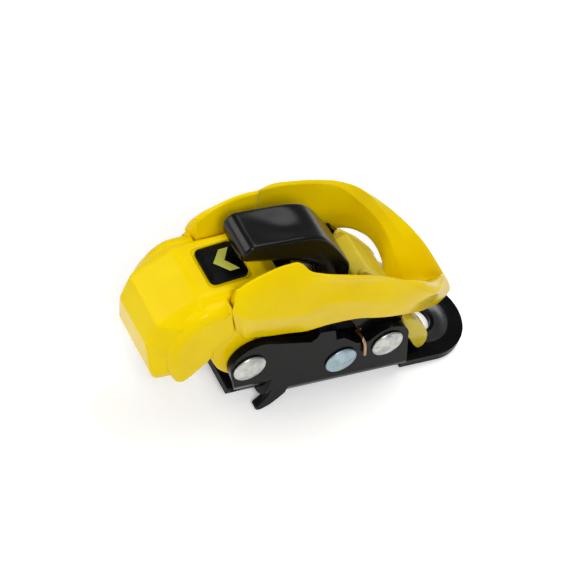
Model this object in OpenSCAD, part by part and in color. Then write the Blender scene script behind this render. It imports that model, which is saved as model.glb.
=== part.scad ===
// Hand ascender: steel rope channel, toothed cam, swinging nose, finger handle
// and thumb lever. Millimetres. Origin: middle of the connector eye's bore.
// +X runs along the rope towards the eye end, +Z away from the base plate, and
// -Y is the side with the spring slot. Heights in the shapes are from the top
// face of the base plate, and placed() lifts every node to the origin's height.

/* [Channel] */
// Thickness of the channel sheet
sheet = 3; // [2:0.5:4]
// Width over the two flanges
channel_width = 38.6; // [34:0.2:46]
// Outer radius of the folds between base plate and flanges
fold_r = 6; // [4:0.5:9]
// Distance from the eye to the nose end of the base plate
plate_back = 84; // [70:1:100]
// Radius of the rounded tongue round the eye
tongue_r = 18; // [14:0.5:24]
// Bore radius of the connector eye
eye_r = 6.2; // [5:0.1:9]
// Radius of the bell mouth of the eye at the plate surface
bell_r = 11.5; // [8:0.5:14]
// Depth of the prongs below the underside of the plate
prong_drop = 4.6; // [2:0.2:8]

/* [Pins] */
// Distance of the front pin from the eye
front_x = 85; // [70:0.5:100]
// Height of the front pin over the base plate
front_z = 19.5; // [16:0.5:26]
// Distance of the middle rivets from the eye
mid_x = 46.5; // [38:0.5:60]
// Height of the middle rivets over the base plate
mid_z = 12.5; // [10:0.5:18]
// Distance of the rear pin from the eye
rear_x = 29; // [24:0.5:36]
// Height of the rear pin over the base plate
rear_z = 16.5; // [14:0.5:22]
// Shaft radius of the front and rear pins
pin_r = 3.5; // [2.5:0.1:5]
// Radius of the domed rivet heads
head_r = 5.9; // [4:0.1:8]
// Height of the domed rivet heads
head_h = 2; // [1:0.1:3]
// Radial running clearance on the pins
run = 0.06; // [0.02:0.01:0.1]

/* [Nose] */
// Half width of the raised middle of the nose
core_half = 10.5; // [8:0.5:13]
// Half width over the nose cheeks
cheek_half = 17.5; // [15:0.5:20]
// Wall of the hollow nose moulding
nose_wall = 3; // [2:0.5:5]
// Length of the badge plate across the nose
badge_w = 15; // [10:0.5:18]
// Width of the badge plate along the nose
badge_l = 12.5; // [8:0.5:15]

/* [Handle] */
// Half width over the handle arms
handle_half = 20.2; // [18:0.2:26]
// Half width between the arms at the fingers
grip_half = 16; // [13:0.5:18]
// Half width between the arm ends beside the nose
end_half = 12.5; // [11:0.5:15]
// Reach of the handle bow beyond the eye centre
bow_reach = 11; // [5:1:20]
// Thickness of each steel lug inside the handle
lug_t = 2.7; // [2:0.1:4]

/* [Cam and levers] */
// Half width of the toothed cam
cam_half = 7; // [5:0.5:8]
// Number of tooth rows on the cam
cam_rows = 6; // [4:1:9]
// Half width of the cam lever body
lever_half = 9; // [8:0.5:10]
// Half width over the two lever feet
feet_half = 14.2; // [12:0.2:15]
// Half width of the thumb lever
thumb_half = 8; // [6:0.5:10]
// Radius of the thumb lever pin
thumb_pin_r = 2.5; // [1.5:0.1:3]
// Wire radius of the return springs
wire_r = 0.6; // [0.4:0.1:0.9]

/* [Hidden] */
$fn = 64;
flange_out = channel_width / 2;
flange_in = flange_out - sheet;
front = [-front_x, front_z];
mid = [-mid_x, mid_z];
rear = [-rear_x, rear_z];
thumb = [-55, 43.5];
deck_a = [-109.5, 52];
deck_b = [-89, 55.3];
deck_angle = atan2(deck_b[1] - deck_a[1], deck_b[0] - deck_a[0]);
badge_x = -96.2;
badge_z = deck_a[1] + (badge_x - deck_a[0]) * tan(deck_angle);
dome_r = (head_r * head_r + 1.2 * 1.2) / 2.4;
lug_in = flange_in - 0.5 - lug_t;
// Height of the plate's top face over the middle of the eye's bore
eye_mid = 2.6;

// A 2-D shape drawn in X and Z, given thickness from y0 to y1
module across(y0, y1) translate([0, y1, 0]) rotate([90, 0, 0]) linear_extrude(height = y1 - y0) children();
// The same shape on both sides of the middle
module both(y0, y1) { across(y0, y1) children(); across(-y1, -y0) children(); }
// A 2-D shape drawn in Y and Z, run from x0 to x1
module along(x0, x1) translate([x0, 0, 0]) rotate([90, 0, 90]) linear_extrude(height = x1 - x0) children();
// A round bar across the part at p, from y0 to y1
module bar(p, r, y0, y1) translate([p[0], y1, p[1]]) rotate([90, 0, 0]) cylinder(r = r, h = y1 - y0);
module bars(p, r, y0, y1) { bar(p, r, y0, y1); bar(p, r, -y1, -y0); }
module disc(p, r) translate(p) circle(r = r);
// Domed rivet head standing on the outer flange face, side = -1 or 1
module head(p, side) translate([p[0], side * (flange_out + 0.02), p[1]]) rotate([-90 * side, 0, 0]) {
    cylinder(r = head_r, h = head_h - 1.2);
    translate([0, 0, head_h - 1.2]) intersection() {
        cylinder(r = head_r, h = 3);
        translate([0, 0, 1.2 - dome_r]) sphere(r = dome_r);
    }
}

// ---------- frame ----------
module fold_section(h, r) {
    translate([-h, r - sheet * (r > 3.5 ? 1 : 0)]) square([2 * h, 50]);
    for (s = [-1, 1]) translate([s * (h - r), r - sheet * (r > 3.5 ? 1 : 0)]) circle(r = r);
    translate([-(h - r), -sheet * (r > 3.5 ? 1 : 0)]) square([2 * (h - r), 20]);
}
module flange_shape() {
    disc([-83, 21.5], 9.3);
    disc(rear, 8.5);
    polygon([[-plate_back, -sheet], [-15, -sheet], [-15.1, 1.5], [-21.2, 19.5], [-24, 22.5], [-34, 23.4],
        [-37.5, 19.6], [-42.6, 20], [-45.3, 22], [-49, 24.6], [-52.4, 24.6], [-54.8, 30.2], [-60.8, 30.8],
        [-61.2, 28.2], [-62.8, 26.3], [-82.5, 30.78], [-91.9, 19.5], [-90.8, 16], [-87.3, 9.5], [-84.6, 4]]);
}
module prong_shape() polygon([[-70.6, 9], [-70.8, 3], [-71.2, -1.8], [-74, -sheet - prong_drop + 1.8], [-74, -sheet - prong_drop + 0.8], [-73, -sheet - prong_drop],
    [-71.6, -sheet - prong_drop + 0.1], [-68.6, -5.8], [-66.2, -3], [-64.4, -0.5], [-63.6, 9]]);
module channel() color([0.07, 0.07, 0.08]) difference() {
    union() {
        difference() {
            intersection() {
                along(-95, -12) difference() { fold_section(flange_out, fold_r); fold_section(flange_in, fold_r - sheet); }
                across(-25, 25) flange_shape();
            }
            // corners of the plate end
            for (s = [-1, 1]) translate([-plate_back, s * 19.3, -8]) cylinder(r = 6, h = 9);
            // bends trimmed away from the plate end to the prongs
            for (s = [-1, 1]) scale([1, s, 1]) along(-96, -72.6) polygon([[12.6, -4], [20.3, 11.2], [26, 11.2], [26, -4]]);
        }
        translate([0, 0, -sheet]) {
            cylinder(r = tongue_r, h = sheet);
            translate([-15.6, -tongue_r, 0]) cube([15.6, 2 * tongue_r, sheet]);
        }
        // collar formed under the eye
        translate([0, 0, -sheet - 0.8]) cylinder(r1 = eye_r + 1.6, r2 = eye_r + 3.4, h = 1);
        both(flange_in, flange_out) prong_shape();
    }
    translate([0, 0, -8]) cylinder(r = eye_r, h = 16);
    translate([0, 0, -1.4]) cylinder(r1 = eye_r, r2 = eye_r + 2, h = 0.701);
    translate([0, 0, -0.7]) cylinder(r1 = eye_r + 2, r2 = bell_r, h = 0.701);
    for (p = [front, rear]) bar(p, pin_r + 0.02, -25, 25);
    bar(mid, 2.52, -25, 25);
}
module front_pin() color([0.72, 0.73, 0.72]) {
    bar(front, pin_r, -flange_out - 0.1, flange_out + 0.1);
    for (s = [-1, 1]) head(front, s);
}
module rear_pin() color([0.72, 0.73, 0.72]) {
    bar(rear, pin_r, -flange_out - 0.1, flange_out + 0.1);
    for (s = [-1, 1]) head(rear, s);
}
module middle_rivets() color([0.68, 0.73, 0.75]) for (s = [-1, 1]) {
    head(mid, s);
    bar(mid, 2.5, s > 0 ? 14.2 : -flange_out - 0.1, s > 0 ? flange_out + 0.1 : -14.2);
    bar(mid, 3.6, s > 0 ? 13.4 : -14.28, s > 0 ? 14.28 : -13.4);
}
module channel_cheeks() color([0.45, 0.46, 0.47]) difference() {
    both(14.3, flange_in - 0.04) polygon([[-66, 6], [-64, 4], [-43, 4], [-41, 6], [-41.5, 15], [-44, 18.5], [-64, 20], [-66, 18]]);
    bars(mid, 2.55, 13, 18);
}
module front_sleeve() color([0.6, 0.61, 0.62]) difference() {
    bar(front, 5, -9.3, 9.3);
    bar(front, pin_r + run, -10, 10);
}

// ---------- nose ----------
module core_shape() polygon([[-109.5, 52], [-122, 41], [-123.5, 31.5], [-118.5, 17.5], [-116.5, 15], [-103, 15],
    [-98, 21], [-93, 30], [-83, 37], [-81.5, 44], [-81.5, 49], deck_b]);
module core_hollow() polygon([[-108.3, 48], [-118.3, 39], [-119.3, 31.5], [-115.2, 19.5], [-105, 19.5],
    [-100, 12], [-78, 28], [-78, 41], [-86, 48.6], [-89, 50.6]]);
module cheek_shape() polygon([[-100.3, 51.7], [-103, 49.6], [-107, 45.8], [-109.8, 41.5], [-111.5, 36],
    [-112.6, 30], [-112.6, 26], [-111.8, 20.5], [-110.5, 17], [-108, 16.4], [-105.8, 19], [-103.4, 22.3],
    [-101.3, 24.6], [-100.5, 28], [-100.2, 31.5], [-98.6, 33.8], [-96.2, 35.3], [-93.4, 36], [-95, 40.8],
    [-97.9, 46], [-99.8, 49.4]]);
module cheek_face() polygon([[-100.4, 49.7], [-102.6, 47.4], [-106, 44.2], [-108.4, 40], [-109.9, 35], [-110.9, 30],
    [-110.9, 26], [-110.2, 21.5], [-109.2, 18.8], [-107.4, 20.4], [-105, 23.8], [-103, 26], [-102.2, 29], [-101.8, 32.6],
    [-99.8, 35], [-97, 36.5], [-95.3, 37.1], [-96.7, 41.2], [-99.2, 46], [-100.3, 48.2]]);
module nose_shell() color([0.88, 0.76, 0.02]) difference() {
    union() {
        difference() {
            across(-core_half, core_half) core_shape();
            across(-core_half + nose_wall, core_half - nose_wall) core_hollow();
        }
        both(core_half - 1, 14.5) cheek_shape();
        both(14.4, cheek_half) cheek_face();
        both(9.6, flange_in - 0.3) {
            disc(front, 8.2);
            polygon([[-103, 42], [-99.6, 28], [-99, 24], [-96.5, 18.5], [-93, 15.2], [-88.6, 12.2], [-80, 26],
                [-86.5, 28.5], [-94, 37], [-97, 44]]);
        }
    }
    bar(front, 5.03, -20, 20);
    // recess for the badge
    translate([badge_x, 0, badge_z]) rotate([0, -deck_angle, 0]) translate([-badge_l / 2 - 0.7, -badge_w / 2 - 0.7, -0.7])
        cube([badge_l + 1.4, badge_w + 1.4, 5]);
    for (y = [-3.6, 3.6]) translate([-110, y, 14]) cylinder(r = 1.02, h = 4.5);
}
module nose_bushes() color([0.7, 0.6, 0.35]) difference() {
    bars(front, 5, 9.6, flange_in - 0.3);
    bar(front, pin_r + run, -20, 20);
}
module nose_guide() color([0.5, 0.51, 0.52]) difference() {
    across(-7.6, 7.6) polygon([[-113.2, 14.9], [-113.8, 13.9], [-112.8, 13.1], [-103, 13.1], [-99.2, 17.6], [-99.8, 18.3], [-103.1, 14.9]]);
    for (y = [-3.6, 3.6]) translate([-110, y, 12]) cylinder(r = 1.05, h = 5);
}
module nose_guide_screws() color([0.62, 0.63, 0.64]) for (y = [-3.6, 3.6]) translate([-110, y, 0]) {
    translate([0, 0, 12.3]) cylinder(r = 1.9, h = 0.78);
    translate([0, 0, 12.9]) cylinder(r = 1, h = 5.2);
}
module on_deck() translate([badge_x, 0, badge_z]) rotate([0, -deck_angle, 0]) children();
module nose_badge() color([0.03, 0.03, 0.035]) on_deck() translate([0, 0, -0.66]) linear_extrude(height = 1.26) {
    square([badge_l - 4, badge_w], center = true);
    square([badge_l, badge_w - 4], center = true);
    for (x = [-1, 1], y = [-1, 1]) translate([x * (badge_l / 2 - 2), y * (badge_w / 2 - 2)]) circle(r = 2);
}
module nose_badge_inlay() color([0.7, 0.7, 0.25]) on_deck() translate([0, 0, 0.64]) linear_extrude(height = 0.16)
    polygon([[-3.6, 0], [0.2, -4.4], [3.6, -4.4], [-0.2, 0], [3.6, 4.4], [0.2, 4.4]]);

// ---------- springs, close wound, drawn as one ribbed sleeve ----------
module coil(p, r, y0, turns) {
    pitch = wire_r * 1.9;
    translate([p[0], y0, p[1]]) rotate([-90, 0, 0]) rotate_extrude() polygon(concat(
        [[r - wire_r, 0]], [[r + wire_r * 0.5, 0]],
        [for (i = [0:turns - 1], e = [0, 1]) e == 0 ? [r + wire_r, (i + 0.5) * pitch] : [r + wire_r * 0.5, (i + 1) * pitch]],
        [[r - wire_r, turns * pitch]]));
}
// Straight piece of wire from a to b with round ends
module wire(a, b) {
    d = b - a;
    translate(a) rotate([0, acos(d[2] / norm(d)), atan2(d[1], d[0])]) cylinder(r = wire_r * 0.85, h = norm(d), $fn = 16);
    translate(b) sphere(r = wire_r * 0.95, $fn = 16);
}
module nose_spring() color([0.5, 0.42, 0.33]) {
    coil(front, 6.3, -6.4, 6);
    wire([-85, -5.7, 25.7], [-94, -5.7, 31.5]);
    wire([-85, -0.3, 25.7], [-76, -0.3, 24]);
}
module handle_spring() color([0.5, 0.42, 0.33]) {
    coil(rear, 5.9, 9.45, 3);
    wire([-31.5, 10.2, 21.7], [-38, 10.2, 30]);
    wire([-34.8, 12.1, 16], [-40, 12.1, 13]);
}
module cam_spring() color([0.5, 0.36, 0.27]) {
    coil(rear, 5.9, -12.85, 3);
    wire([-34.9, -12.1, 16.4], [-38.4, -12.6, 17]);
    wire([-38.4, -12.6, 17], [-40.3, -16.1, 20.7]);
    wire([-40.3, -16.1, 20.7], [-40.3, -19.95, 20.7]);
    wire([-40.3, -19.95, 20.7], [-37.6, -20.4, 14]);
    wire([-32, -10.2, 21.5], [-36, -10.2, 25.5]);
}
module thumb_spring() color([0.5, 0.42, 0.33]) {
    coil(thumb, 3.6, 10.1, 2);
    wire([-55, 10.8, 47], [-63, 10.8, 49.5]);
    wire([-51.6, 12.2, 43], [-49.5, 12.2, 36]);
}

// ---------- handle ----------
module handle_side() polygon([[-95.3, 58.5], [-92.5, 61], [-87, 64.8], [-80, 66.5], [-72, 66], [-62, 64], [-50, 60.5],
    [-44, 58.3], [-36, 54.6], [-28.5, 49.6], [-21, 43.5], [-11, 33.5], [0, 24.4], [8, 17.8], [11, 14.5], [11, 11.2],
    [6, 13], [-1, 18], [-9, 22], [-18, 26.5], [-26, 28.5], [-33, 30], [-41, 31.4], [-50, 32.8], [-57, 33.2],
    [-60.8, 32.4], [-63, 30.6], [-66, 30.2], [-75, 30.9], [-85, 32], [-89.5, 33.4], [-92, 36.4], [-94.2, 41.2],
    [-97, 46.4], [-99, 50.2], [-98.4, 53.2]]);
module handle_plan() {
    translate([-101, -handle_half]) square([67.1, 2 * handle_half]);
    translate([-34, 0]) scale([(bow_reach + 34) / handle_half, 1]) circle(r = handle_half);
}
module grip_plan() {
    translate([-102, -end_half]) square([27, 2 * end_half]);
    translate([-76, -grip_half]) square([36.1, 2 * grip_half]);
    translate([-40, 0]) scale([22 / grip_half, 1]) circle(r = grip_half);
}
module handle_shell() color([0.9, 0.78, 0.03]) difference() {
    intersection() {
        across(-25, 25) handle_side();
        translate([0, 0, 5]) linear_extrude(height = 70) handle_plan();
    }
    translate([0, 0, 0]) linear_extrude(height = 80) grip_plan();
    bars(thumb, thumb_pin_r + 0.02, 15, 18.5);
    bars([-46, 40], 1.22, 15, 18.6);
    bars([-39.5, 34.6], 1.22, 15, 18.6);
    // pockets for the lugs and their screw heads
    both(lug_in - 1.2, lug_in + lug_t + 0.04) polygon([[-36, 18], [-51.4, 33.3], [-50.4, 43.4], [-43.3, 43.4], [-37.6, 38.6], [-30, 32.6], [-23.9, 27], [-21.6, 17]]);
    // arms are drawn in under the flanges' line
    for (s = [-1, 1]) scale([1, s, 1]) along(-105, 0) polygon([[flange_out + 1.4, 20], [flange_out + 1.4, 40], [flange_out - 0.6, 31], [flange_out - 0.6, 20]]);
}
module handle_lugs() color([0.1, 0.1, 0.11]) difference() {
    both(lug_in, lug_in + lug_t) {
        disc(rear, 7);
        polygon([[-35.5, 18.5], [-51, 33.6], [-50, 43], [-43.5, 43], [-38, 38.3], [-30.4, 32.2], [-24.4, 26.6], [-22.1, 17]]);
    }
    bar(rear, pin_r + run, -20, 20);
    bars([-46, 40], 1.22, 10, 18.6);
    bars([-39.5, 34.6], 1.22, 10, 18.6);
}
module handle_lug_screws() color([0.62, 0.63, 0.64]) for (p = [[-46, 40], [-39.5, 34.6]]) {
    bars(p, 1.2, lug_in - 0.1, 18.4);
    bars(p, 2.2, lug_in - 0.9, lug_in - 0.02);
}
module thumb_pin() color([0.72, 0.73, 0.72]) bar(thumb, thumb_pin_r, -18.4, 18.4);

// ---------- cam and its lever ----------
module cam_shape() {
    disc(rear, 5.2);
    polygon([[-29, 21.6], [-38, 22.6], [-45.5, 20.4], [-47.8, 16.5], [-46.6, 13.4], [-41, 12.1], [-34, 11.6], [-29, 11.3]]);
}
module cam() color([0.62, 0.63, 0.64]) difference() {
    across(-cam_half, cam_half) cam_shape();
    bar(rear, pin_r + run, -20, 20);
    // cross grooves leave rows of teeth
    for (i = [0:cam_rows - 1]) translate([-45.6 + i * 1.9, 0, 12.5 - i * 0.22]) rotate([0, 45 + 8, 0]) cube([0.9, 30, 0.9], center = true);
    for (y = [-3.5, 3.5]) translate([-41, y, 17]) cylinder(r = 1.22, h = 10);
}
module lever_shape() polygon([[-45.8, 42.8], [-44, 43.9], [-42.2, 44.9], [-40.9, 45.4], [-35, 40.6], [-27, 33.2], [-22.4, 28], [-17.8, 20.6], [-17.8, 14.2],
    [-21.5, 14.2], [-23, 23], [-29, 23.4], [-38, 23.4], [-44, 22.2], [-46.4, 26]]);
module ear_shape() polygon([[-45.7, 46.1], [-44.2, 47.5], [-35, 40.6], [-27, 33.2], [-24, 29.5], [-32, 29], [-45.9, 38]]);
module foot_shape() polygon([[-20.4, 20.2], [-16.8, 19.4], [-11, 15.4], [-7.5, 11.4], [-5.5, 8], [-4.6, 4], [-5.4, 1.4],
    [-7.2, 0.6], [-10, 3.2], [-13.3, 7.6], [-15, 8.8], [-17.2, 13], [-20.4, 14.2]]);
module cam_lever() color([0.8, 0.7, 0.12]) difference() {
    union() {
        across(-lever_half, lever_half) lever_shape();
        both(thumb_half + 0.4, lever_half + 0.8) ear_shape();
        both(cam_half + 0.1, lever_half) {
            disc(rear, 6.6);
            polygon([[-35.4, 15], [-44, 23], [-22, 23], [-22.4, 16]]);
        }
        across(-feet_half, feet_half) polygon([[-20.4, 20.2], [-16.8, 19.4], [-15.6, 18.4], [-17.6, 13.8], [-20.4, 14.4]]);
        both(lever_half - 0.5, feet_half) foot_shape();
    }
    bar(rear, pin_r + run, -20, 20);
    for (y = [-3.5, 3.5]) translate([-41, y, 20]) {
        cylinder(r = 1.22, h = 20);
        translate([0, 0, 12]) cylinder(r = 2.5, h = 20);
    }
}
module cam_lever_screws() color([0.62, 0.63, 0.64]) for (y = [-3.5, 3.5]) translate([-41, y, 0]) {
    translate([0, 0, 17.2]) cylinder(r = 1.2, h = 15);
    translate([0, 0, 32.04]) cylinder(r = 2.2, h = 1.8);
}

// ---------- thumb lever ----------
module thumb_shape() polygon([[-95.4, 62.4], [-95.2, 67], [-93.4, 69], [-68.5, 69], [-64.5, 66.4], [-61, 63], [-55.4, 56.2], [-50.6, 49.4],
        [-50.2, 43], [-59.8, 42.6], [-61.2, 47.5], [-63.4, 51.6], [-69.5, 54.6], [-80, 57.7], [-94, 61]]);
module thumb_lever() color([0.05, 0.05, 0.055]) difference() {
    union() {
        across(-thumb_half, thumb_half) thumb_shape();
        bar(thumb, 5.6, -thumb_half, thumb_half);
    }
    bar(thumb, thumb_pin_r + run, -20, 20);
    // hollow of the thumb rest
    translate([-81, 0, 69 + 44.6]) rotate([0, 90, 0]) cylinder(r = 46, h = 24, center = true, $fn = 96);
    // slot for the latch
    across(-3.1, 3.1) polygon([[-66, 36], [-66, 47.9], [-58.2, 47.9], [-57.9, 36]]);
    bar([-59.2, 45], 0.82, -6, 6);
}
module thumb_latch() color([0.5, 0.51, 0.52]) difference() {
    across(-3, 3) polygon([[-67.5, 46], [-66.6, 49.4], [-62.8, 48], [-61.4, 47.2], [-58.5, 47.2], [-58.3, 43.2], [-60, 41.6], [-63.5, 42.6]]);
    bar([-59.2, 45], 0.84, -5, 5);
}
module thumb_latch_rivet() color([0.7, 0.71, 0.7]) bar([-59.2, 45], 0.8, -5.9, 5.9);

module placed() translate([0, 0, eye_mid]) children();

placed() channel();
placed() front_pin();
placed() rear_pin();
placed() middle_rivets();
placed() channel_cheeks();
placed() front_sleeve();
placed() nose_shell();
placed() nose_bushes();
placed() nose_guide();
placed() nose_guide_screws();
placed() nose_badge();
placed() nose_badge_inlay();
placed() nose_spring();
placed() handle_shell();
placed() handle_lugs();
placed() handle_lug_screws();
placed() thumb_pin();
placed() handle_spring();
placed() cam();
placed() cam_lever();
placed() cam_lever_screws();
placed() cam_spring();
placed() thumb_lever();
placed() thumb_latch();
placed() thumb_latch_rivet();
placed() thumb_spring();
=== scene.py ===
"""Looks of a hand ascender: moulded nose, finger handle, thumb lever and cam lever on a folded steel rope channel."""

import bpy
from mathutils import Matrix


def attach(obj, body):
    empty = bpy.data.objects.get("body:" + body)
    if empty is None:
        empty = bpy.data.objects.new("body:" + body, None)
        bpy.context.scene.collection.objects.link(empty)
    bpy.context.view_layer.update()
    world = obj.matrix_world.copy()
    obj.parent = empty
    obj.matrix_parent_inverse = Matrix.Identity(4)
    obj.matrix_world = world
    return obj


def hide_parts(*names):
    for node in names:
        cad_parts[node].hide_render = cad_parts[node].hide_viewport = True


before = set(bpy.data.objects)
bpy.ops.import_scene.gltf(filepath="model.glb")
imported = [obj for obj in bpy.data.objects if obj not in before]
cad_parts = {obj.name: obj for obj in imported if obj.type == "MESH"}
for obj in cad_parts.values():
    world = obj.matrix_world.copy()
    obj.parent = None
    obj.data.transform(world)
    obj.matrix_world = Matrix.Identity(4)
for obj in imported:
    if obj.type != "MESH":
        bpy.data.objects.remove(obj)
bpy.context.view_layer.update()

import math

import bmesh
import bpy
import numpy as np
from mathutils import Matrix

# All sizes below are millimetres, with heights from the top face of the base plate.
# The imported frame's origin lies this far under that face, in the middle of the eye's bore.
EYE_MID = 2.6
FRONT, REAR, THUMB = (-85.0, 19.5), (-29.0, 16.5), (-55.0, 43.5)
# Middle of the badge on the sloping deck, as (x, height), and the deck's slope.
BADGE_X, BADGE_Z, DECK_SLOPE = -96.2, 54.15, math.atan2(3.3, 20.5)
WIRE_RADIUS, COIL_PITCH = 0.55, 1.15
MM = 0.001


# ------------------------------------------------------------------ surfaces
def rounded(loops, radius, n=6):
    """Corner C of each closed loop becomes the parabola (1-t)^2 A + 2t(1-t) C + t^2 B, where A and B lie radius
    before and after C on the loop's sides, or 48% of a short side."""
    loops = np.asarray(loops, float)
    back, ahead = np.roll(loops, 1, -2) - loops, np.roll(loops, -1, -2) - loops
    lb, la = (np.maximum(np.linalg.norm(v, axis=-1), 1e-9) for v in (back, ahead))
    radius = np.broadcast_to(np.asarray(radius, float), lb.shape)
    a = loops + back * (np.minimum(radius, 0.48 * lb) / lb)[..., None]
    b = loops + ahead * (np.minimum(radius, 0.48 * la) / la)[..., None]
    t = np.linspace(0, 1, n)[:, None]
    p = (1 - t) ** 2 * a[..., None, :] + 2 * t * (1 - t) * loops[..., None, :] + t ** 2 * b[..., None, :]
    return p.reshape(*loops.shape[:-2], -1, loops.shape[-1])


def spline(rows, per_span):
    """Cubic Hermite curve through the rows, whose slope at a row is the mean of the slopes on either side, each
    weighted by the other side's length."""
    rows = np.asarray(rows, float)
    d = np.linalg.norm(np.diff(rows, axis=0), axis=-1)
    d = np.maximum(d.reshape(len(d), -1).mean(1), 1e-6)
    shape = (-1,) + (1,) * (rows.ndim - 1)
    slope = np.diff(rows, axis=0) / d.reshape(shape)
    before, after = d[:-1].reshape(shape), d[1:].reshape(shape)
    inner = (slope[1:] * before + slope[:-1] * after) / (d[1:] + d[:-1]).reshape(shape)
    m = np.concatenate([slope[:1], inner, slope[-1:]])
    t = np.linspace(0, len(d), len(d) * per_span + 1)
    i = np.minimum(t.astype(int), len(d) - 1)
    u = (t - i).reshape(shape)
    h = d[i].reshape(shape)
    return ((2 * u ** 3 - 3 * u ** 2 + 1) * rows[i] + (u ** 3 - 2 * u ** 2 + u) * h * m[i]
            + (3 * u ** 2 - 2 * u ** 3) * rows[i + 1] + (u ** 3 - u ** 2) * h * m[i + 1])


def denser(loop, step):
    """A closed loop with extra points, evenly spaced by arc length, so that no side is longer than step; its own
    points stay."""
    loop = np.asarray(loop, float)
    nxt = np.roll(loop, -1, 0)
    n = np.maximum(np.ceil(np.linalg.norm(nxt - loop, axis=1) / step).astype(int), 1)
    idx = np.repeat(np.arange(len(loop)), n)
    u = (np.arange(len(idx)) - np.repeat(np.cumsum(n) - n, n)) / n[idx]
    return loop[idx] + (nxt - loop)[idx] * u[:, None]


def outward(loop):
    """Unit normals of a closed 2-D loop: its central difference turned a quarter, signed so that they point out of
    the loop."""
    d = np.roll(loop, -1, 0) - np.roll(loop, 1, 0)
    n = np.stack([d[:, 1], -d[:, 0]], 1) / np.maximum(np.linalg.norm(d, axis=1), 1e-9)[:, None]
    area = np.sum(loop[:, 0] * np.roll(loop[:, 1], -1) - np.roll(loop[:, 0], -1) * loop[:, 1])
    return n if area > 0 else -n


def slab(loop, y0, y1, rim=(0.8, 0.8), rows=2, n=5):
    """A side outline (x, z) carried from y0 to y1. Near each face the outline draws in by rim(1 - sin a) while y goes
    rim(1 - cos a) short of the face, a quarter round; rim is one number or one per outline point."""
    loop = np.asarray(loop, float)
    nor = outward(loop)
    r0, r1 = (np.broadcast_to(np.asarray(r, float), len(loop)) for r in rim)
    a = np.linspace(0, np.pi / 2, n)
    inset = np.concatenate([(1 - np.sin(a))[:, None] * r0, np.zeros((rows, len(loop))),
                            (1 - np.sin(a[::-1]))[:, None] * r1])
    f = np.linspace(0, 1, rows + 2)[1:-1, None]
    ya, yb = y0 + (1 - np.cos(a))[:, None] * r0, y1 - (1 - np.cos(a[::-1]))[:, None] * r1
    y = np.concatenate([ya, ya[-1:] * (1 - f) + yb[:1] * f, yb])
    xz = loop[None] - nor[None] * inset[..., None]
    return np.stack([xz[..., 0], y, xz[..., 1]], -1)


def ends(grid, radius):
    """Rounds both ends of a tube grid: extra rings go out by radius sin a along the tube while they draw towards the
    ring's middle by radius (1 - cos a)."""
    a = np.radians([30, 60, 85])
    def cap(ring, inner):
        mid = ring.mean(0)
        way = mid - inner.mean(0)
        way /= np.linalg.norm(way)
        to_mid = mid - ring
        dist = np.maximum(np.linalg.norm(to_mid, axis=1), 1e-9)[:, None]
        inset = [np.minimum(radius * (1 - math.cos(b)), dist * 0.9) for b in a]
        return np.stack([ring + to_mid / dist * i + way * radius * math.sin(b) for i, b in zip(inset, a)])
    return np.concatenate([cap(grid[0], grid[1])[::-1], grid, cap(grid[-1], grid[-2])])


def tube(path, radius, sides=14):
    """Circle of the given radius carried along a path; each ring's axes are the last ring's, made square to the new
    direction."""
    path = np.asarray(path, float)
    tan = np.gradient(path, axis=0)
    tan /= np.linalg.norm(tan, axis=1)[:, None]
    side = np.cross(tan[0], [0.31, 0.52, 0.79])
    frames = []
    for t in tan:
        side = side - t * np.dot(side, t)
        side /= np.linalg.norm(side)
        frames.append(side)
    u = np.array(frames)
    v = np.cross(tan, u)
    a = np.linspace(0, 2 * np.pi, sides, endpoint=False)[None, :, None]
    return path[:, None] + radius * (np.cos(a) * u[:, None] + np.sin(a) * v[:, None])


def joined(parts):
    """Vertices and faces of several shapes as one mesh: each is a closed grid (rings, points, 3), or a pair of
    vertices and faces."""
    verts, faces, base = [], [], 0
    for part in parts:
        if isinstance(part, tuple):
            v, f = part
            f = [tuple(int(i) + base for i in q) for q in f]
        else:
            m, k, _ = part.shape
            i, j = np.meshgrid(np.arange(m - 1), np.arange(k), indexing="ij")
            a, b = i * k + j, i * k + (j + 1) % k
            f = (np.stack([a, b, b + k, a + k], -1).reshape(-1, 4) + base).tolist()
            f.append([base + q for q in range(k)][::-1])
            f.append([base + (m - 1) * k + q for q in range(k)])
            v = part.reshape(-1, 3)
            if signed_volume(part) < 0:
                f = [q[::-1] for q in f]
        verts.append(v)
        faces += f
        base += len(v)
    return np.concatenate(verts), faces


def signed_volume(grid):
    """Sum of the tetrahedra from the grid's middle to its side quads, positive where the quads of joined() face
    outwards."""
    g = grid - grid.reshape(-1, 3).mean(0)
    a, b, c, d = g[:-1], np.roll(g, -1, 1)[:-1], np.roll(g, -1, 1)[1:], g[1:]
    return float((np.cross(a, b) * c).sum() + (np.cross(a, c) * d).sum())


def piece(name, parts, body, material, replaces=(), smooth=50):
    """One object from several shapes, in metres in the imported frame, which rides on a body."""
    verts, faces = joined(parts)
    mesh = bpy.data.meshes.new(name)
    mesh.from_pydata(((verts + [0, 0, EYE_MID]) * MM).tolist(), [], faces)
    mesh.update()
    mesh.materials.append(material)
    obj = bpy.data.objects.new(name, mesh)
    bpy.context.scene.collection.objects.link(obj)
    shade(mesh, smooth)
    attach(obj, body)
    if replaces:
        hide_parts(*replaces)
    return obj


def shade(mesh, degrees):
    """Smooth shading, with edges sharp where two faces meet at more than the given angle."""
    mesh.polygons.foreach_set("use_smooth", np.ones(len(mesh.polygons), bool))
    mesh.set_sharp_from_angle(angle=math.radians(degrees))
    mesh.update()


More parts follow.
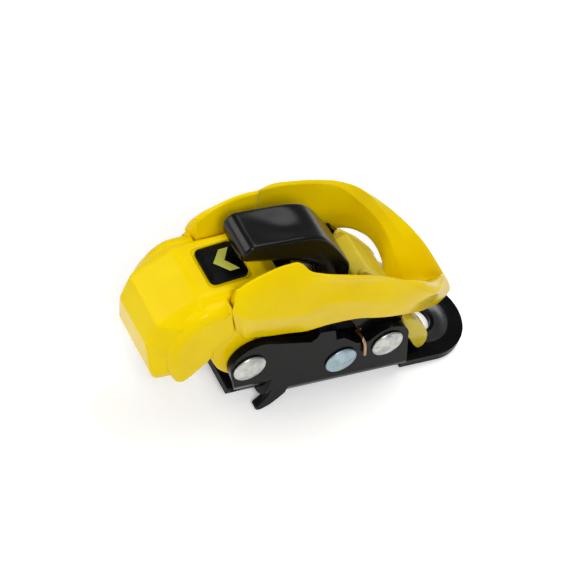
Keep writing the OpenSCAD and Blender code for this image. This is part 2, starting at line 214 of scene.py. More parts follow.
def smooth_copy(node, name, body, material, bevel=0.0, angle=35):
    """A merged copy of a CAD node with smooth curved faces and, where bevel is given, small rounded edges."""
    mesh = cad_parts[node].data.copy()
    mesh.name = name
    bm = bmesh.new()
    bm.from_mesh(mesh)
    bmesh.ops.remove_doubles(bm, verts=bm.verts, dist=2e-6)
    bmesh.ops.dissolve_limit(bm, angle_limit=math.radians(0.6), verts=bm.verts, edges=bm.edges)
    bm.to_mesh(mesh)
    bm.free()
    mesh.materials.clear()
    mesh.materials.append(material)
    obj = bpy.data.objects.new(name, mesh)
    bpy.context.scene.collection.objects.link(obj)
    if bevel:
        m = obj.modifiers.new("rounded_edges", "BEVEL")
        m.width, m.segments = bevel * MM, 3
        m.limit_method, m.angle_limit = "ANGLE", math.radians(angle)
        m.use_clamp_overlap = True
        m.harden_normals = False
    shade(mesh, angle)
    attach(obj, body)
    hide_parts(node)
    return obj


# ----------------------------------------------------------------- materials
class Shade:
    """A node socket in shader maths: + - * add Math nodes, and node() adds any other."""

    def __init__(self, tree, socket=None):
        self.tree, self.socket = tree, socket

    def node(self, kind, settings=None, sockets=None, out=0):
        """Adds a node: its settings first, a ramp's stops as (place, colour) pairs, then the values or links of its
        sockets."""
        made = self.tree.nodes.new(kind)
        for key, value in (settings or {}).items():
            if key == "stops":
                ramp = made.color_ramp.elements
                while len(ramp) < len(value):
                    ramp.new(0.5)
                for stop, (place, colour) in zip(ramp, value):
                    stop.position, stop.color = place, (*colour, 1)
            else:
                setattr(made, key, value)
        for key, value in (sockets or {}).items():
            if isinstance(value, Shade):
                self.tree.links.new(value.socket, made.inputs[key])
            else:
                made.inputs[key].default_value = value
        return Shade(self.tree, made.outputs[out])

    def maths(self, operation, *values):
        return self.node("ShaderNodeMath", {"operation": operation}, dict(enumerate(values)))

    def __add__(self, other): return self.maths("ADD", self, other)
    def __radd__(self, other): return self.maths("ADD", other, self)
    def __sub__(self, other): return self.maths("SUBTRACT", self, other)
    def __rsub__(self, other): return self.maths("SUBTRACT", other, self)
    def __mul__(self, other): return self.maths("MULTIPLY", self, other)
    def __rmul__(self, other): return self.maths("MULTIPLY", other, self)

    def clamp(self, low=0.0, high=1.0):
        return self.maths("MINIMUM", self.maths("MAXIMUM", self, low), high)

    def blend(self, a, b):
        """Colour a where this is 0 and colour b where it is 1."""
        return self.node("ShaderNodeMix", {"data_type": "RGBA", "clamp_factor": True}, {0: self, 6: a, 7: b}, out=2)


def finish(name, build, **fixed):
    """A Principled material: build(start, point) gives the varying sockets from the object's own point in
    millimetres, and fixed ones are set on the shader."""
    mat = bpy.data.materials.new(name)
    mat.use_nodes = True
    tree = mat.node_tree
    tree.nodes.clear()
    start = Shade(tree)
    coords = start.node("ShaderNodeTexCoord", out=3)
    point = start.node("ShaderNodeVectorMath", {"operation": "SCALE"}, {0: coords, "Scale": 1000.0})
    shader = tree.nodes.new("ShaderNodeBsdfPrincipled")
    for key, value in fixed.items():
        shader.inputs[key.replace("_", " ")].default_value = value
    for key, value in build(start, point).items():
        tree.links.new(value.socket, shader.inputs[key])
    out = tree.nodes.new("ShaderNodeOutputMaterial")
    tree.links.new(shader.outputs[0], out.inputs[0])
    return mat


def noise(start, point, scale, detail=3.0, rough=0.5, distortion=0.0):
    return start.node("ShaderNodeTexNoise", None, {"Vector": point, "Scale": scale, "Detail": detail,
                                                   "Roughness": rough, "Distortion": distortion})


def stretched(start, point, x, y, z, turn=(0.0, 0.0, 0.0)):
    return start.node("ShaderNodeMapping", {"vector_type": "TEXTURE"},
                      {"Vector": point, "Rotation": turn, "Scale": (x, y, z)})


def bump(start, height, strength, distance):
    """distance is in metres, as the object is."""
    return start.node("ShaderNodeBump", None, {"Height": height, "Strength": strength, "Distance": distance})


def ramp(start, value, *stops):
    return start.node("ShaderNodeValToRGB", {"stops": [(p, (c, c, c)) for p, c in stops]}, {"Fac": value})


def lin(r, g, b):
    """Linear colour of an 8-bit one."""
    return tuple(((c / 255 + 0.055) / 1.055) ** 2.4 if c > 10 else c / 255 / 12.92 for c in (r, g, b)) + (1.0,)


def moulded(bright, deep, worn, mottle=0.14, grain=0.00003):
    """Injection-moulded nylon: slow colour drift, faint flow lines, fine grain and pale scuffs in patches."""
    def build(start, point):
        drift = ramp(start, noise(start, point, 0.045, 2.0), (0.3, 0), (0.7, 1))
        flow = noise(start, stretched(start, point, 9, 2, 2), 0.35, 3.0, 0.6, 0.6)
        lines = noise(start, stretched(start, point, 7.0, 1.0, 0.8, (0.5, 0.9, 0.3)), 1.6, 4.0, 0.75, 0.4)
        scratch = ramp(start, lines, (0.66, 0), (0.74, 1))
        patch = ramp(start, noise(start, point, 0.11, 2.0, 0.6), (0.52, 0), (0.66, 1))
        scuff = scratch * patch * 0.4
        base = (drift * 0.7 + flow * mottle * 2.0).clamp().blend(deep, bright)
        fine = noise(start, point, 4.5, 4.0, 0.6)
        height = fine * 0.4 + flow * 0.03 - scratch * patch * 0.25
        return {"Base Color": scuff.blend(base, worn),
                "Roughness": (0.14 + flow * 0.1 + scuff * 0.35).clamp(0.14, 0.75),
                "Normal": bump(start, height, 0.4, grain)}
    return build


def coated(start, point):
    """Gloss powder coat on steel: slight orange peel, dust specks and a greyer film in patches."""
    peel = noise(start, point, 0.9, 2.0, 0.5)
    film = ramp(start, noise(start, point, 0.16, 3.0, 0.6), (0.35, 0), (0.75, 1))
    speck = ramp(start, noise(start, point, 3.1, 2.0, 0.7), (0.72, 0), (0.76, 1))
    return {"Base Color": (film * 0.6 + speck * 0.3).clamp().blend(lin(6, 6, 7), lin(15, 15, 16)),
            "Roughness": (0.13 + film * 0.12 + speck * 0.2).clamp(), "Normal": bump(start, peel, 0.5, 0.00004)}


def satin_black(start, point):
    """Moulded lever: even spark-eroded grain, paler where thumbs polish it."""
    grain = noise(start, point, 3.6, 4.0, 0.7)
    rub = ramp(start, noise(start, stretched(start, point, 3, 1, 1), 0.25, 3.0, 0.6), (0.42, 0), (0.72, 1))
    return {"Base Color": (rub * 0.6 + grain * 0.3).clamp().blend(lin(6, 6, 7), lin(16, 17, 20)),
            "Roughness": (0.17 + grain * 0.12 - rub * 0.05).clamp(), "Normal": bump(start, grain, 0.4, 0.00003)}


def plated(tint, shadow, low=0.24):
    """Bright zinc: cloudy colour, stamping pits and fine hairlines."""
    def build(start, point):
        cloud = ramp(start, noise(start, point, 0.28, 4.0, 0.6), (0.35, 0), (0.7, 1))
        pit = ramp(start, noise(start, point, 1.3, 2.0, 0.5), (0.66, 0), (0.72, 1))
        hair = noise(start, stretched(start, point, 6, 1, 0.5, (0.2, 0.6, 0.1)), 2.2, 3.0, 0.7)
        return {"Base Color": (cloud * 0.65 + pit * 0.45).clamp().blend(tint, shadow),
                "Roughness": (low + cloud * 0.14 + hair * 0.12 + pit * 0.15).clamp(),
                "Normal": bump(start, hair * 0.5 - pit * 0.7 + cloud * 0.3, 0.6, 0.00005)}
    return build


def badge_gloss(start, point):
    """Domed resin over print: wavy skin with small dents."""
    wave = noise(start, point, 0.45, 3.0, 0.6, 0.8)
    dent = noise(start, point, 1.5, 3.0, 0.7)
    return {"Base Color": dent.blend(lin(2, 2, 3), lin(9, 9, 10)),
            "Roughness": (0.06 + dent * 0.16).clamp(), "Normal": bump(start, wave + dent * 0.6, 0.9, 0.0003)}


def print_olive(start, point):
    """Printed ink under the resin, with worn flecks."""
    fleck = ramp(start, noise(start, point, 1.6, 4.0, 0.7), (0.6, 0), (0.68, 1))
    return {"Base Color": (fleck * 0.6).blend(lin(178, 180, 66), lin(120, 124, 40)),
            "Roughness": (0.25 + fleck * 0.2).clamp(), "Normal": bump(start, fleck, 0.3, 0.00005)}


yellow = finish("yellow_nylon", moulded(lin(240, 210, 0), lin(230, 194, 0), lin(230, 206, 70)),
                Specular_IOR_Level=0.06)
lever_yellow = finish("yellow_lever", moulded(lin(216, 196, 62), lin(204, 180, 40), lin(214, 204, 130), 0.2),
                      Specular_IOR_Level=0.2)
black_steel = finish("black_steel", coated, Specular_IOR_Level=0.07)
gloss_steel = finish("black_steel_gloss", coated, Specular_IOR_Level=0.8)
black_nylon = finish("black_nylon", satin_black, Specular_IOR_Level=0.22)
zinc = finish("zinc_steel", plated(lin(206, 206, 200), lin(112, 120, 128)), Metallic=1.0)
blue_zinc = finish("zinc_steel_blue", plated(lin(168, 188, 196), lin(118, 142, 156)), Metallic=1.0)
bare = finish("bare_steel", plated(lin(176, 177, 178), lin(140, 142, 146), 0.3), Metallic=1.0)
bronze = finish("bronze", plated(lin(190, 158, 96), lin(150, 118, 66), 0.35), Metallic=1.0)
wire_brown = finish("spring_wire", plated(lin(196, 160, 122), lin(146, 102, 66), 0.25), Metallic=1.0)
badge_black = finish("badge_black", badge_gloss, Specular_IOR_Level=0.1)
badge_olive = finish("badge_olive", print_olive, Coat_Weight=0.3)


# -------------------------------------------------------------------- handle
# Rails of the near half as (x, half width, height), from the arm's end by the nose to the middle of the bow.
# Columns: rim inside, rim outside, shoulder, lower crease, bottom outside, bottom inside, inner edge.
HANDLE = np.array([
    [(-99.4, 14.4, 58.4), (-99.7, 15.6, 60.0), (-100.3, 17.4, 57.0), (-100.4, 18.6, 50.8), (-93.6, 17.2, 37.4),
     (-93.4, 13.4, 37.4), (-98.7, 12.9, 51.4)],
    [(-97.2, 14.7, 61.0), (-97.2, 15.7, 62.0), (-97.9, 18.6, 57.5), (-97.4, 20.0, 49.5), (-90.6, 17.4, 33.8),
     (-90.4, 13.2, 34.1), (-96.4, 12.7, 53.4)],
    [(-90.5, 14.8, 65.0), (-90.5, 15.8, 65.9), (-91.0, 19.0, 59.0), (-90.0, 20.7, 47.5), (-85.4, 17.0, 32.2),
     (-85.4, 13.2, 32.2), (-90.5, 12.7, 54.6)],
    [(-83.8, 14.8, 66.9), (-83.5, 15.9, 67.6), (-83.0, 19.3, 60.0), (-82.0, 20.9, 46.3), (-79.5, 16.9, 31.2),
     (-79.5, 13.3, 31.2), (-83.5, 12.8, 55.4)],
    [(-79.8, 15.0, 67.0), (-79.4, 16.1, 67.5), (-78.3, 19.6, 60.5), (-76.5, 21.0, 45.8), (-75.5, 16.9, 30.8),
     (-75.5, 13.6, 30.8), (-79.2, 13.2, 55.0)],
    [(-76.6, 17.4, 65.0), (-76.0, 18.3, 65.4), (-74.4, 19.8, 59.4), (-72.0, 21.0, 45.6), (-71.5, 16.9, 30.4),
     (-71.5, 14.0, 30.4), (-76.0, 15.4, 52.0)],
    [(-71.6, 18.8, 63.9), (-71.2, 20.3, 64.3), (-70.0, 19.6, 58.0), (-67.4, 21.3, 48.6), (-66.6, 17.6, 30.6),
     (-66.6, 14.8, 30.6), (-71.0, 16.4, 48.0)],
    [(-60.0, 20.1, 61.7), (-59.8, 21.6, 62.1), (-59.4, 20.2, 57.0), (-58.8, 22.0, 49.6), (-58.6, 18.8, 33.4),
     (-58.6, 16.6, 33.6), (-60.0, 16.8, 46.0)],
    [(-48.4, 20.5, 58.7), (-47.8, 22.0, 59.4), (-47.2, 20.8, 55.0), (-47.4, 22.1, 46.6), (-48.0, 19.8, 34.8),
     (-48.2, 18.2, 35.4), (-48.0, 17.6, 46.0)],
    [(-38.8, 20.4, 54.2), (-39.2, 22.3, 56.0), (-37.6, 22.4, 53.4), (-36.2, 21.8, 42.2), (-37.4, 20.2, 33.0),
     (-37.8, 19.2, 34.4), (-38.2, 18.8, 44.0)],
    [(-30.5, 18.4, 47.2), (-29.5, 20.6, 51.4), (-26.5, 22.6, 47.9), (-27.0, 21.0, 38.8), (-28.0, 19.9, 31.6),
     (-28.4, 19.2, 33.4), (-29.2, 18.4, 40.0)],
    [(-22.4, 15.6, 40.2), (-19.4, 15.8, 42.0), (-14.8, 20.0, 41.0), (-18.6, 17.0, 31.4), (-15.8, 15.6, 25.1),
     (-20.9, 15.2, 29.0), (-21.6, 15.2, 34.5)],
    [(-17.6, 9.6, 33.2), (-12.8, 9.8, 34.2), (-7.0, 10.6, 36.6), (-6.6, 9.4, 20.4), (-5.2, 8.6, 15.8),
     (-19.3, 8.6, 25.6), (-18.6, 9.2, 29.5)],
    [(-14.2, 4.0, 25.4), (-8.4, 4.4, 26.8), (-1.2, 4.6, 29.8), (4.0, 4.6, 14.6), (3.8, 4.2, 10.9),
     (-19.6, 4.2, 22.0), (-17.0, 4.0, 23.8)],
    [(-12.6, 0.0, 21.3), (-5.8, 0.0, 21.6), (6.4, 0.0, 19.2), (10.2, 0.0, 12.8), (8.8, 0.0, 10.5),
     (-19.0, 0.0, 18.5), (-16.0, 0.0, 19.9)],
])


def handle_grid():
    """Seven rails run from one arm's end round the bow to the other's, and near the bow's corners each point moves
    repeatedly towards the mean of its two neighbours on the rail; each ring joins the rails' points, with its
    corners rounded."""
    per_ring, corner, rounds = 10, 11.2, 28
    rails = spline(np.concatenate([HANDLE * [1, -1, 1], HANDLE[::-1][1:]]), per_ring)
    k = np.minimum(np.arange(len(rails)), np.arange(len(rails))[::-1]) / per_ring
    ease = np.clip(1.25 - abs(k - corner) / 2.0, 0, 1)[1:-1, None, None] * 0.5
    for _ in range(rounds):
        rails[1:-1] += ease * ((rails[:-2] + rails[2:]) / 2 - rails[1:-1])
    bow = np.clip((k - 8) / 3.0, 0, 1)[:, None]
    arm_r = np.array([0.5, 0.7, 4.0, 1.0, 1.1, 0.9, 3.0])
    bow_r = np.array([0.5, 0.5, 3.0, 1.4, 1.0, 0.7, 1.0])
    return ends(rounded(rails, arm_r * (1 - bow) + bow_r * bow, 7), 1.0)


piece("handle_body", [handle_grid()], "handle", yellow, ["handle_shell"])


# ---------------------------------------------------------------------- nose
def nose_core():
    """Two side outlines of equal count, one round the middle panel and one round the flanks. Rings go from the middle
    out to the panel's half width, bend over a short parabola, and run straight to the flank's outline; the deck
    sinks inside the badge's rounded rectangle, by a depth that falls off linearly over its wall."""
    panel = [(-109.5, 52, 10.5), (-122.1, 41.1, 10.9), (-123.4, 31.6, 10.3), (-118.5, 17.4, 13.0),
             (-116.5, 15, 12.8), (-103, 15, 12.0), (-98, 21, 11.0),
             (-93, 30, 10.7), (-83, 37, 10.7), (-78.4, 44, 10.7), (-77.6, 51.8, 10.7), (-84.2, 55.5, 10.7)]
    flank = [(-110.0, 49.4, 14.0), (-115.7, 42.6, 15.0), (-117.1, 33.4, 15.3), (-113.6, 20.6, 15.4),
             (-112.0, 18.4, 15.2), (-103, 17.5, 14.0), (-99, 22, 14.0),
             (-96, 30, 14.0), (-93, 37, 13.0), (-92, 44, 12.0), (-91.5, 51.6, 11.4), (-92.3, 52.9, 11.4)]
    both = denser(rounded(np.concatenate([panel, flank], 1), [0.8, 0.8, 0.8, 1.2, 1.2, 1, 1, 1, 2, 1, 1, 1], 5), 0.42)
    edge, far = both[:, [0, 2, 1]], both[:, [3, 5, 4]]
    fold = 0.8
    inner = edge - [0, fold, 0]
    run = far - edge
    turn = edge + run / np.linalg.norm(run, axis=1)[:, None] * fold
    t = np.linspace(0, 1, 5)[:, None, None]
    bend = (1 - t) ** 2 * inner + 2 * t * (1 - t) * edge + t ** 2 * turn
    rows = 30
    flat = inner[None] * np.stack([np.ones(rows), np.linspace(0, 1, rows + 1)[:rows], np.ones(rows)], 1)[:, None]
    out = turn + (far - turn) * np.linspace(0, 1, 6)[1:, None, None]
    half = np.concatenate([flat, bend, out])
    g = np.concatenate([half[::-1] * [1, -1, 1], half[1:]])
    along, up = g[..., 0] - BADGE_X, g[..., 2] - BADGE_Z
    u = along * math.cos(DECK_SLOPE) + up * math.sin(DECK_SLOPE)
    h = -along * math.sin(DECK_SLOPE) + up * math.cos(DECK_SLOPE)
    # Distance outside the recess, a rounded rectangle, whose wall spreads its depth over a short run.
    middle, half_length, half_width, corner, depth, wall = -0.7, 5.7, 6.2, 2.1, 0.75, 0.5
    q = np.hypot(np.maximum(abs(u - middle) - half_length, 0), np.maximum(abs(g[..., 1]) - half_width, 0)) - corner
    sink = depth * np.clip(0.5 - q / wall, 0, 1) * (h > -0.5)
    g[..., 0] += sink * math.sin(DECK_SLOPE)
    g[..., 2] -= sink * math.cos(DECK_SLOPE)
    return g


def cheek(side):
    """Pad beside the core: its outline draws in over a deep quarter round towards the outer face."""
    loop = denser(rounded([(-99.9, 51.3), (-103.6, 51.0), (-108.6, 50.3), (-111.6, 48.3), (-114.2, 45.4),
                           (-116.1, 41.4), (-117.4, 37.6), (-117.7, 33), (-117, 28),
                           (-115.2, 23), (-112.6, 18.6), (-110.4, 16.7), (-108.2, 16.3), (-105.7, 19),
                           (-103.4, 22.3), (-101.4, 24.6), (-100.8, 28), (-100.8, 31.5),
                           (-99.6, 33.8), (-97.6, 35.6), (-95.4, 37.2), (-96.6, 41.2), (-98.6, 46),
                           (-99.5, 49.2)], 1.2, 5), 0.7)
    nor = outward(loop)
    front = np.clip(-nor[:, 0] * 0.8 + nor[:, 1] * 0.9 + 0.2, 0, 1)
    return slab(loop, 9.6, 17.7, (0.5, 0.9 + 3.3 * front), 2, 9) * [1, side, 1]


def boss(side):
    """Ear of the nose on the front pin, inside the flange."""
    t = np.radians(np.linspace(-100, 60, 15))
    arc = np.stack([FRONT[0] + 8.1 * np.cos(t), FRONT[1] + 8.1 * np.sin(t)], 1)
    hole = [(-83.5, 29.2), (-92.2, 37), (-97, 43.8), (-102, 42), (-100.2, 28.6), (-99.3, 24.4), (-97.2, 20.4),
            (-94, 16.2), (-90.4, 13.4)]
    loop = denser(rounded(np.concatenate([arc, hole]), 1.2, 4), 0.8)
    return slab(loop, 9.4, 15.95, (0.5, 1.1), 2, 6) * [1, side, 1]


piece("nose_body", [nose_core(), cheek(-1), cheek(1), boss(-1), boss(1)],
      "nose", yellow, ["nose_shell"], 40)


# --------------------------------------------------------------------- badge
def on_deck(p):
    """Moves (u, y, h), measured from the badge's middle on the sloping deck, into place."""
    u, y, h = np.moveaxis(np.asarray(p, float), -1, 0)
    c, s = math.cos(DECK_SLOPE), math.sin(DECK_SLOPE)
    return np.stack([BADGE_X + u * c - h * s, y, BADGE_Z + u * s + h * c], -1)


def dome(t):
    """Height of the badge's skin: 0.1 + 0.75(1 - t^5), where t is 0 in the middle and 1 at the rim."""
    return 0.1 + 0.75 * (1 - t ** 5)


def badge():
    """Rounded rectangle whose rings shrink by t to its middle while they rise along the dome."""
    loop = denser(rounded([(-7.6, -7.4), (6.2, -7.4), (6.2, 7.4), (-7.6, 7.4)], 2.4, 8), 0.5)
    t = np.concatenate([[1.0, 1.0], np.linspace(0.99, 0.04, 22)])[:, None]
    h = np.concatenate([[-0.7, 0.1], dome(t[2:, 0])])[:, None]
    p = np.stack([loop[:, 0] * t, loop[:, 1] * t, np.broadcast_to(h, (len(t), len(loop)))], -1)
    return on_deck(p)


def chevron():
    """Plain chevron: a thin plate that follows the dome, just proud of it."""
    loop = denser(np.array([(-3.8, 0), (0.2, -4.6), (3.6, -4.6), (0.2, 0), (3.6, 4.6), (0.2, 4.6)], float), 0.6)
    r, y = loop[:, 0], loop[:, 1]
    skin = dome(np.maximum(abs(r) / 6.2, abs(y) / 7.4))
    rings = [np.stack([r * k, y * k, skin + d], 1) for k, d in ((1, -0.1), (1, 0.03), (0.97, 0.07))]
    return on_deck(np.stack(rings))


piece("badge_dome", [badge()], "nose", badge_black, ["nose_badge"], 60)
piece("badge_chevron", [chevron()], "nose", badge_olive, ["nose_badge_inlay"], 60)


# -------------------------------------------------------------- thumb lever
def thumb_lever():
    """Side outline carried across with a tight rim along the top and a deep one below; the top sinks by depth times
    cos^2 along the lever times cos^1.2 across it, deepest in its middle."""
    corners = [(-95.6, 61.6), (-96.2, 66.0), (-93.8, 69.1), (-84, 69.1), (-72.6, 68.9), (-66.5, 67.4),
               (-61.6, 63.4), (-55.0, 56.4), (-49.6, 49.8),
               (-48.2, 44.0), (-49.2, 40.2), (-54.0, 37.8), (-59.6, 40.2), (-61.2, 46.6), (-63.6, 51.4),
               (-69.5, 54.6), (-80, 57.7), (-93.6, 60.2)]
    loop = denser(rounded(corners, [1.6, 1.8, 1.4, 4, 4, 3, 3, 3, 2.4, 2, 2.4, 2.4, 2, 2, 2, 3, 4, 1.6], 7), 0.5)
    nor = outward(loop)
    under = np.clip(-nor[:, 1] * 1.6, 0, 1) * np.clip((-57 - loop[:, 0]) / 6, 0, 1)
    rim = 1.1 + 2.6 * under
    half_width, depth, middle, half_length = 8, 1.5, -80, 15
    g = slab(loop, -half_width, half_width, (rim, rim), 17, 7)
    x, y, z = g[..., 0], g[..., 1], g[..., 2]
    top = np.clip((z - 66.2) / 2.0, 0, 1)
    lengthwise = np.cos(np.clip((x - middle) / half_length, -1, 1) * np.pi / 2) ** 2
    across = np.cos(np.clip(y / 6.9, -1, 1) * np.pi / 2) ** 1.2
    g[..., 2] = z - top * (depth * lengthwise * across)
    return g


piece("thumb_lever_body", [thumb_lever()], "thumb", black_nylon, ["thumb_lever"], 50)


# ----------------------------------------------------------------- cam lever
def cam_lever():
    """Body, two ears beside the thumb lever, cheeks on the pin, cross bar and two feet, each an outline carried
    across with rounded rims."""
    body = rounded([(-46.2, 27), (-45.8, 42.6), (-44, 43.8), (-42.2, 44.8), (-40.9, 45.3), (-35, 40.6),
                    (-27, 33.2), (-22.6, 28), (-18.6, 20.6), (-18.6, 15),
                    (-21.3, 14.4), (-23, 23), (-29, 23.6), (-38, 23.6), (-44, 22.4)], 1.0, 5)
    ear = rounded([(-45.7, 46.1), (-44.2, 47.4), (-35, 40.9), (-27, 33.6), (-23.6, 29.6), (-32, 28.4),
                   (-45.9, 37)], 0.8, 5)
    disc = [(REAR[0] + 6.5 * math.cos(a), REAR[1] + 6.5 * math.sin(a)) for a in np.linspace(-2.4, 0.5, 20)]
    cheek_side = rounded(disc + [(-22.2, 24), (-44, 24), (-35.6, 15.2)], 0.8, 3)
    bar = rounded([(-20.3, 20.2), (-16.8, 19.4), (-15.5, 18.4), (-17.4, 14.0), (-20.3, 14.6)], 0.8, 5)
    foot = rounded([(-20.3, 20.2), (-16.8, 19.3), (-11.2, 15.4), (-7.6, 11.4), (-5.5, 8), (-4.6, 4), (-5.3, 1.4),
                    (-7.2, 0.5), (-10, 3.2), (-13.3, 7.6),
                    (-15, 8.8), (-17.2, 13), (-20.3, 14.3)], 1.3, 5)
    parts = [slab(denser(body, 1.2), -8.9, 8.9, (0.7, 0.7), 6), slab(denser(bar, 1), -14.1, 14.1, (0.8, 0.8), 4)]
    for s in (-1, 1):
        parts += [slab(denser(ear, 1), 8.45, 9.8, (0.4, 0.5)) * [1, s, 1],
                  slab(denser(cheek_side, 1), 7.1, 8.95, (0.3, 0.4)) * [1, s, 1],
                  slab(denser(foot, 0.8), 8.6, 14.2, (0.5, 0.6), 3, 6) * [1, s, 1]]
    return parts


piece("cam_lever_body", cam_lever(), "cam", lever_yellow, ["cam_lever"], 45)


# ------------------------------------------------------------------- springs
def spring(centre, radius, y0, turns, first, last, lead, tail):
    """Helix about an axis along Y: angle runs from first to last plus whole turns while y climbs by COIL_PITCH a
    turn; both legs are splines through given points that run on from the helix."""
    a = np.radians(np.linspace(first, last + 360 * turns, int(40 * turns) + 24))
    y = y0 + COIL_PITCH * (a - a[0]) / (2 * np.pi)
    helix = np.stack([centre[0] + radius * np.cos(a), y, centre[1] + radius * np.sin(a)], 1)
    lead = spline([*lead, helix[0]], 6)[:-1]
    tail = spline([helix[-1], *tail], 6)[1:]
    return ends(tube(np.concatenate([lead, helix, tail]), WIRE_RADIUS), 0.3)


def spring_piece(name, body, node, *args, **kw):
    piece(name, [spring(*args, **kw)], body, wire_brown, [node], 60)


spring_piece("nose_spring_wire", "nose", "nose_spring", FRONT, 6.3, -5.9, 5, 90, 90,
             lead=[(-94, -6, 31.5), (-89.5, -6, 28.6)], tail=[(-80.5, -0.1, 24.9), (-76, -0.1, 24)])
spring_piece("handle_spring_wire", "handle", "handle_spring", REAR, 5.9, 9.9, 2, 118, 180,
             lead=[(-36, 9.9, 26.2), (-34.2, 9.9, 24.2)], tail=[(-36.6, 12.3, 14.6), (-40, 12.3, 13)])
spring_piece("cam_spring_wire", "cam", "cam_spring", REAR, 5.9, -12.1, 2, 182, 100,
             lead=[(-36.4, -12.15, 17.2), (-35.6, -12.1, 16.7)], tail=[(-33.4, -9.9, 22.9), (-36, -9.9, 25.5)])
# The cam spring's end hooks over the flange and stays with it while the coil turns with the cam.
hook = spline([(-37.6, -20.3, 13.6), (-38.6, -20.35, 16.6), (-39.9, -20.2, 20.0), (-40.4, -19.2, 21.3),
               (-40.4, -17.0, 21.2), (-39.6, -14.8, 19.6), (-38.6, -13.2, 18.2)], 8)
piece("cam_spring_hook", [ends(tube(hook, WIRE_RADIUS), 0.3)], "frame", wire_brown, smooth=60)
spring_piece("thumb_spring_wire", "thumb", "thumb_spring", THUMB, 3.6, 10.5, 1, 90, 0,
             lead=[(-63, 10.5, 49.5), (-59, 10.5, 48.2)], tail=[(-50.4, 12.0, 39.5), (-49.5, 12.0, 36)])


# --------------------------------------------------- steel channel and pins
smooth_copy("channel", "channel_plate", "frame", black_steel, 0.45, 32)


def eye_mouth():
    """Bell mouth turned about the eye: radius 6.24 + 6t while height follows 0.06 - 1.6(1 - t)^2, closed by a return
    just under it."""
    t = np.linspace(0, 1, 26)
    r = np.concatenate([[6.2, 6.2], 6.24 + 6.0 * t, [12.3, 12.25, 6.4]])
    z = np.concatenate([[-2.4, -1.7], 0.06 - 1.6 * (1 - t) ** 2, [0.0, -0.4, -2.4]])
    a = np.linspace(0, 2 * np.pi, 97)[:-1]
    g = np.stack([r[:, None] * np.cos(a), r[:, None] * np.sin(a), np.broadcast_to(z[:, None], (len(r), len(a)))], -1)
    m, k, _ = g.shape
    i, j = np.meshgrid(np.arange(m), np.arange(k), indexing="ij")
    nxt = (i + 1) % m
    quads = np.stack([i * k + j, i * k + (j + 1) % k, nxt * k + (j + 1) % k, nxt * k + j], -1).reshape(-1, 4)
    return g.reshape(-1, 3), quads.tolist()


for node, mat in (("front_pin", zinc), ("rear_pin", zinc), ("middle_rivets", blue_zinc)):
    smooth_copy(node, node + "_heads", "frame", mat, 0.5, 40)
piece("eye_bell", [eye_mouth()], "frame", gloss_steel, smooth=40)

for mat, nodes in (
        (bare, ("channel_cheeks", "front_sleeve", "nose_guide", "cam", "thumb_latch")),
        (zinc, ("nose_guide_screws", "handle_lug_screws", "thumb_pin", "cam_lever_screws", "thumb_latch_rivet")),
        (bronze, ("nose_bushes",)), (black_steel, ("handle_lugs",))):
    for node in nodes:
        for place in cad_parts[node].material_slots:
            place.material = mat


# --------------------------------------------------------------------- stage
def white_floor():
    """Pale satin floor with a little light of its own, seen by every ray but the diffuse ones."""
    mat = bpy.data.materials.new("floor_white")
    mat.use_nodes = True
    tree = mat.node_tree
    tree.nodes.clear()
    start = Shade(tree)
    paths = tree.nodes.new("ShaderNodeLightPath")
    camera_ray, glossy_ray, transmission_ray = (Shade(tree, paths.outputs["Is %s Ray" % kind])
                                                for kind in ("Camera", "Glossy", "Transmission"))
    seen = (camera_ray + glossy_ray + transmission_ray).clamp()
    plain = start.node("ShaderNodeBsdfPrincipled", None,
                       {"Base Color": (0.9, 0.9, 0.9, 1), "Roughness": 0.32, "Specular IOR Level": 0.35})
    glow = start.node("ShaderNodeEmission", None, {"Color": (1, 1, 1, 1), "Strength": seen * 0.28})
    both = start.node("ShaderNodeAddShader", None, {0: plain, 1: glow})
    out = tree.nodes.new("ShaderNodeOutputMaterial")
    tree.links.new(both.socket, out.inputs[0])
    return mat


# The part rests on its prong tips and on the end of its tongue, so the floor leans by their difference in height.
lean = math.atan2(4.6, 90.0)
mesh = bpy.data.meshes.new("floor")
FLOOR_HALF, SHEET, TONGUE_END = 2.5, 3.0, 18.0
floor_low, floor_high = ((-SHEET - (TONGUE_END - x / MM) * math.tan(lean) + EYE_MID) * MM
                         for x in (-FLOOR_HALF, FLOOR_HALF))
mesh.from_pydata([(-FLOOR_HALF, -FLOOR_HALF, floor_low), (FLOOR_HALF, -FLOOR_HALF, floor_high),
                  (FLOOR_HALF, FLOOR_HALF, floor_high), (-FLOOR_HALF, FLOOR_HALF, floor_low)], [], [(0, 1, 2, 3)])
mesh.materials.append(white_floor())
floor = bpy.data.objects.new("floor", mesh)
bpy.context.scene.collection.objects.link(floor)

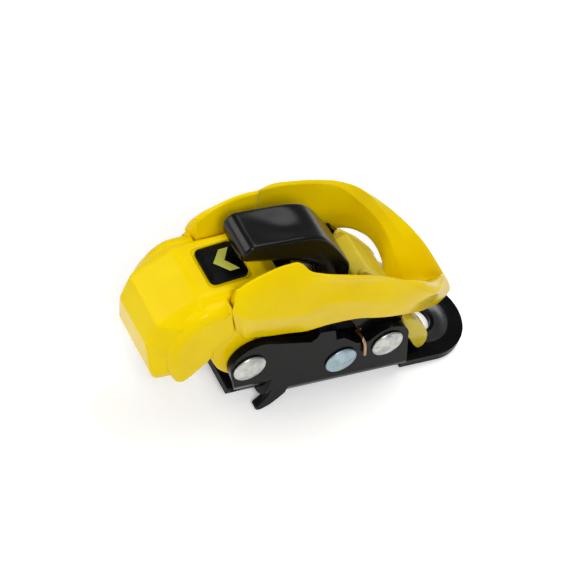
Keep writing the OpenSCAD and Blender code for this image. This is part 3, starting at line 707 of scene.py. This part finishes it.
world = bpy.data.worlds.new("studio")
bpy.context.scene.world = world
world.use_nodes = True
tree = world.node_tree
tree.nodes.clear()
start = Shade(tree)
paths = tree.nodes.new("ShaderNodeLightPath")
seen = Shade(tree, paths.outputs["Is Camera Ray"])
sky = start.node("ShaderNodeTexCoord", out=0)
high = start.node("ShaderNodeSeparateXYZ", None, {0: sky}, out=2)
by_height = ramp(start, high, (0.0, 0.6), (0.2, 0.32), (0.6, 0.3), (0.95, 0.42))
glow = start.node("ShaderNodeBackground", None,
                  {"Color": (1, 1, 1, 1), "Strength": seen.maths("MAXIMUM", seen, by_height)})
tree.links.new(glow.socket, tree.nodes.new("ShaderNodeOutputWorld").inputs[0])


def stand(obj, right, up, back, at):
    """Puts a lamp or the camera at a point, with its three axes along the given unit vectors."""
    place = np.eye(4)
    place[:3] = np.stack([right, up, back, at], 1)
    obj.matrix_world = Matrix(place.tolist())


def lamp(name, at, size, power):
    """Soft box that faces the middle of the part; metres and watts."""
    data = bpy.data.lights.new(name, "AREA")
    data.shape, data.size, data.size_y, data.energy = "RECTANGLE", size[0], size[1], power
    obj = bpy.data.objects.new(name, data)
    bpy.context.scene.collection.objects.link(obj)
    back = np.array(at, float) - PART_MIDDLE
    back /= np.linalg.norm(back)
    right = np.cross([0, 0, 1.0], back)
    right /= np.linalg.norm(right)
    up = np.cross(back, right)
    stand(obj, right, up, back, at)


PART_MIDDLE = np.array([-0.05, 0, 0.03])
lamp("softbox_left", (-0.9, 0.5, 0.42), (0.45, 0.5), 2.9)
lamp("softbox_top", (0.25, 0.2, 1.0), (0.6, 0.6), 4.0)
lamp("softbox_front", (-0.45, -0.75, 0.85), (0.4, 0.4), 6.6)


# -------------------------------------------------------------------- camera
def camera():
    """Long lens looking down at the spring-slot side from the nose end, rolled so that the rope line climbs to the
    right."""
    az, el, roll = np.radians([-45.4, 45.4, 24.4])
    back = np.array([math.sin(az) * math.cos(el), -math.cos(az) * math.cos(el), math.sin(el)])
    right = np.array([math.cos(az), math.sin(az), 0.0])
    up = np.cross(back, right)
    c, s = math.cos(roll), math.sin(roll)
    right, up = c * right + s * up, -s * right + c * up
    at = (np.array([-500.6, -433.1, 654.8]) + [0, 0, EYE_MID]) * MM
    data = bpy.data.cameras.new("camera")
    frame_width, focal_length = 585, 2610
    data.sensor_width = 36.0
    data.lens = focal_length / frame_width * data.sensor_width
    data.clip_start, data.clip_end = 0.01, 20.0
    obj = bpy.data.objects.new("camera", data)
    bpy.context.scene.collection.objects.link(obj)
    stand(obj, right, up, back, at)
    bpy.context.scene.camera = obj


camera()
bpy.context.scene.view_settings.view_transform = "Standard"
